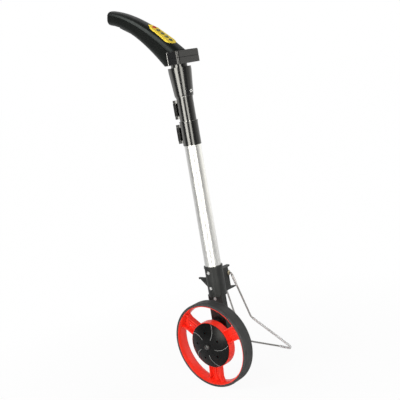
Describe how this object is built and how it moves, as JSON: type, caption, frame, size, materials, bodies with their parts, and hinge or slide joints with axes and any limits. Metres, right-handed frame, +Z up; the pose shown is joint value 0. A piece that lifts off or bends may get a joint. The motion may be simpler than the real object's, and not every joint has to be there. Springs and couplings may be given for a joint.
{
  "type": "measuring wheel",
  "caption": "Digital distance measuring wheel with a telescopic pole, flip-lock clamps, curved grip with keys, display head, spoked wheel and folding wire side stand",
  "frame": {"origin": "where the tyre touches the ground, in the wheel's mid-plane", "axes": "+X rolling direction, +Y towards the side stand along the axle, +Z up along the pole"},
  "size_m": [0.2266, 0.2271, 0.7008],
  "materials": {
    "tyre_rubber": "fine matt",
    "red_plastic": "moulded, satin",
    "black_plastic": "moulded, fine texture",
    "steel": "plated",
    "magnet": "plain",
    "aluminium": "anodised, satin",
    "board": "solder mask",
    "brass": "plain",
    "wire_chrome": "plated",
    "white_plastic": "plain",
    "grey_rubber": "plain",
    "window_glass": "clear",
    "display_face": "plain",
    "cell_can": "plain sleeve",
    "yellow_plastic": "satin",
    "red_key": "plain",
    "dark_key": "plain"
  },
  "bodies": {
    "frame": {"outer_tube": "aluminium", "fork": "black_plastic", "socket_screws": "steel", "axle": "steel", "axle_nut": "steel", "sensor_pod": "black_plastic", "stand_eyelets": "brass", "clamp_lower": "black_plastic", "pin_lower": "steel"},
    "rolling_wheel": {"tyre": "tyre_rubber", "wheel": "red_plastic", "hub_cap": "black_plastic", "hub_bearings": "steel", "magnet_ring": "magnet"},
    "stand": {"stand_wire": "wire_chrome", "leg_sleeve": "white_plastic", "toe_sleeve": "grey_rubber"},
    "lower_lever": {"lever_lower": "black_plastic"},
    "middle_pole": {"middle_tube": "aluminium", "middle_foot": "black_plastic", "clamp_upper": "black_plastic", "pin_upper": "steel"},
    "upper_lever": {"lever_upper": "black_plastic"},
    "handle": {"inner_tube": "aluminium", "inner_foot": "black_plastic", "handle_sleeve": "black_plastic", "sleeve_screw": "steel", "display_base": "black_plastic", "display_top": "black_plastic", "display_window": "window_glass", "display_glass": "display_face", "main_board": "board", "grip_lower": "black_plastic", "grip_upper": "black_plastic", "battery_cells": "cell_can", "battery_contacts": "steel", "battery_tray": "black_plastic", "key_panel": "yellow_plastic", "key_mat": "grey_rubber", "key_board": "board"},
    "door": {"battery_door": "black_plastic"},
    "key_power_cap": {"key_power": "red_key"},
    "key_two_cap": {"key_two": "dark_key"},
    "key_three_cap": {"key_three": "dark_key"},
    "key_four_cap": {"key_four": "dark_key"},
    "key_five_cap": {"key_five": "dark_key"}
  },
  "joints": [
    {"name": "wheel_spin", "type": "hinge", "parent": "frame", "child": "rolling_wheel", "pos_m": [0, 0, 0.0796], "axis": [0, 1, 0], "continuous": true},
    {"name": "stand_fold", "type": "hinge", "parent": "frame", "child": "stand", "pos_m": [0, 0.0664, 0.1942], "axis": [1, 0, 0], "range_deg": [0, 148]},
    {"name": "lower_lever_open", "type": "hinge", "parent": "frame", "child": "lower_lever", "pos_m": [-0.01865, 0.0262, 0.4631], "axis": [0, 0, 1], "range_deg": [0, 130]},
    {"name": "middle_pole_slide", "type": "slide", "parent": "frame", "child": "middle_pole", "axis": [0, 0, 1], "range_m": [0, 0.19]},
    {"name": "upper_lever_open", "type": "hinge", "parent": "middle_pole", "child": "upper_lever", "pos_m": [-0.0173, 0.02686, 0.5065], "axis": [0, 0, 1], "range_deg": [0, 130]},
    {"name": "handle_slide", "type": "slide", "parent": "middle_pole", "child": "handle", "axis": [0, 0, 1], "range_m": [0, 0.19]},
    {"name": "door_lift", "type": "slide", "parent": "handle", "child": "door", "axis": [-0.4901, 0, -0.8717], "range_m": [0, 0.012]},
    {"name": "key_power_press", "type": "slide", "parent": "handle", "child": "key_power_cap", "axis": [-0.6374, 0, -0.7705], "range_m": [0, 0.001], "stiffness_N_per_m": 800, "springref_m": -0.0005},
    {"name": "key_two_press", "type": "slide", "parent": "handle", "child": "key_two_cap", "axis": [-0.6374, 0, -0.7705], "range_m": [0, 0.001], "stiffness_N_per_m": 800, "springref_m": -0.0005},
    {"name": "key_three_press", "type": "slide", "parent": "handle", "child": "key_three_cap", "axis": [-0.6374, 0, -0.7705], "range_m": [0, 0.001], "stiffness_N_per_m": 800, "springref_m": -0.0005},
    {"name": "key_four_press", "type": "slide", "parent": "handle", "child": "key_four_cap", "axis": [-0.6374, 0, -0.7705], "range_m": [0, 0.001], "stiffness_N_per_m": 800, "springref_m": -0.0005},
    {"name": "key_five_press", "type": "slide", "parent": "handle", "child": "key_five_cap", "axis": [-0.6374, 0, -0.7705], "range_m": [0, 0.001], "stiffness_N_per_m": 800, "springref_m": -0.0005}
  ]
}
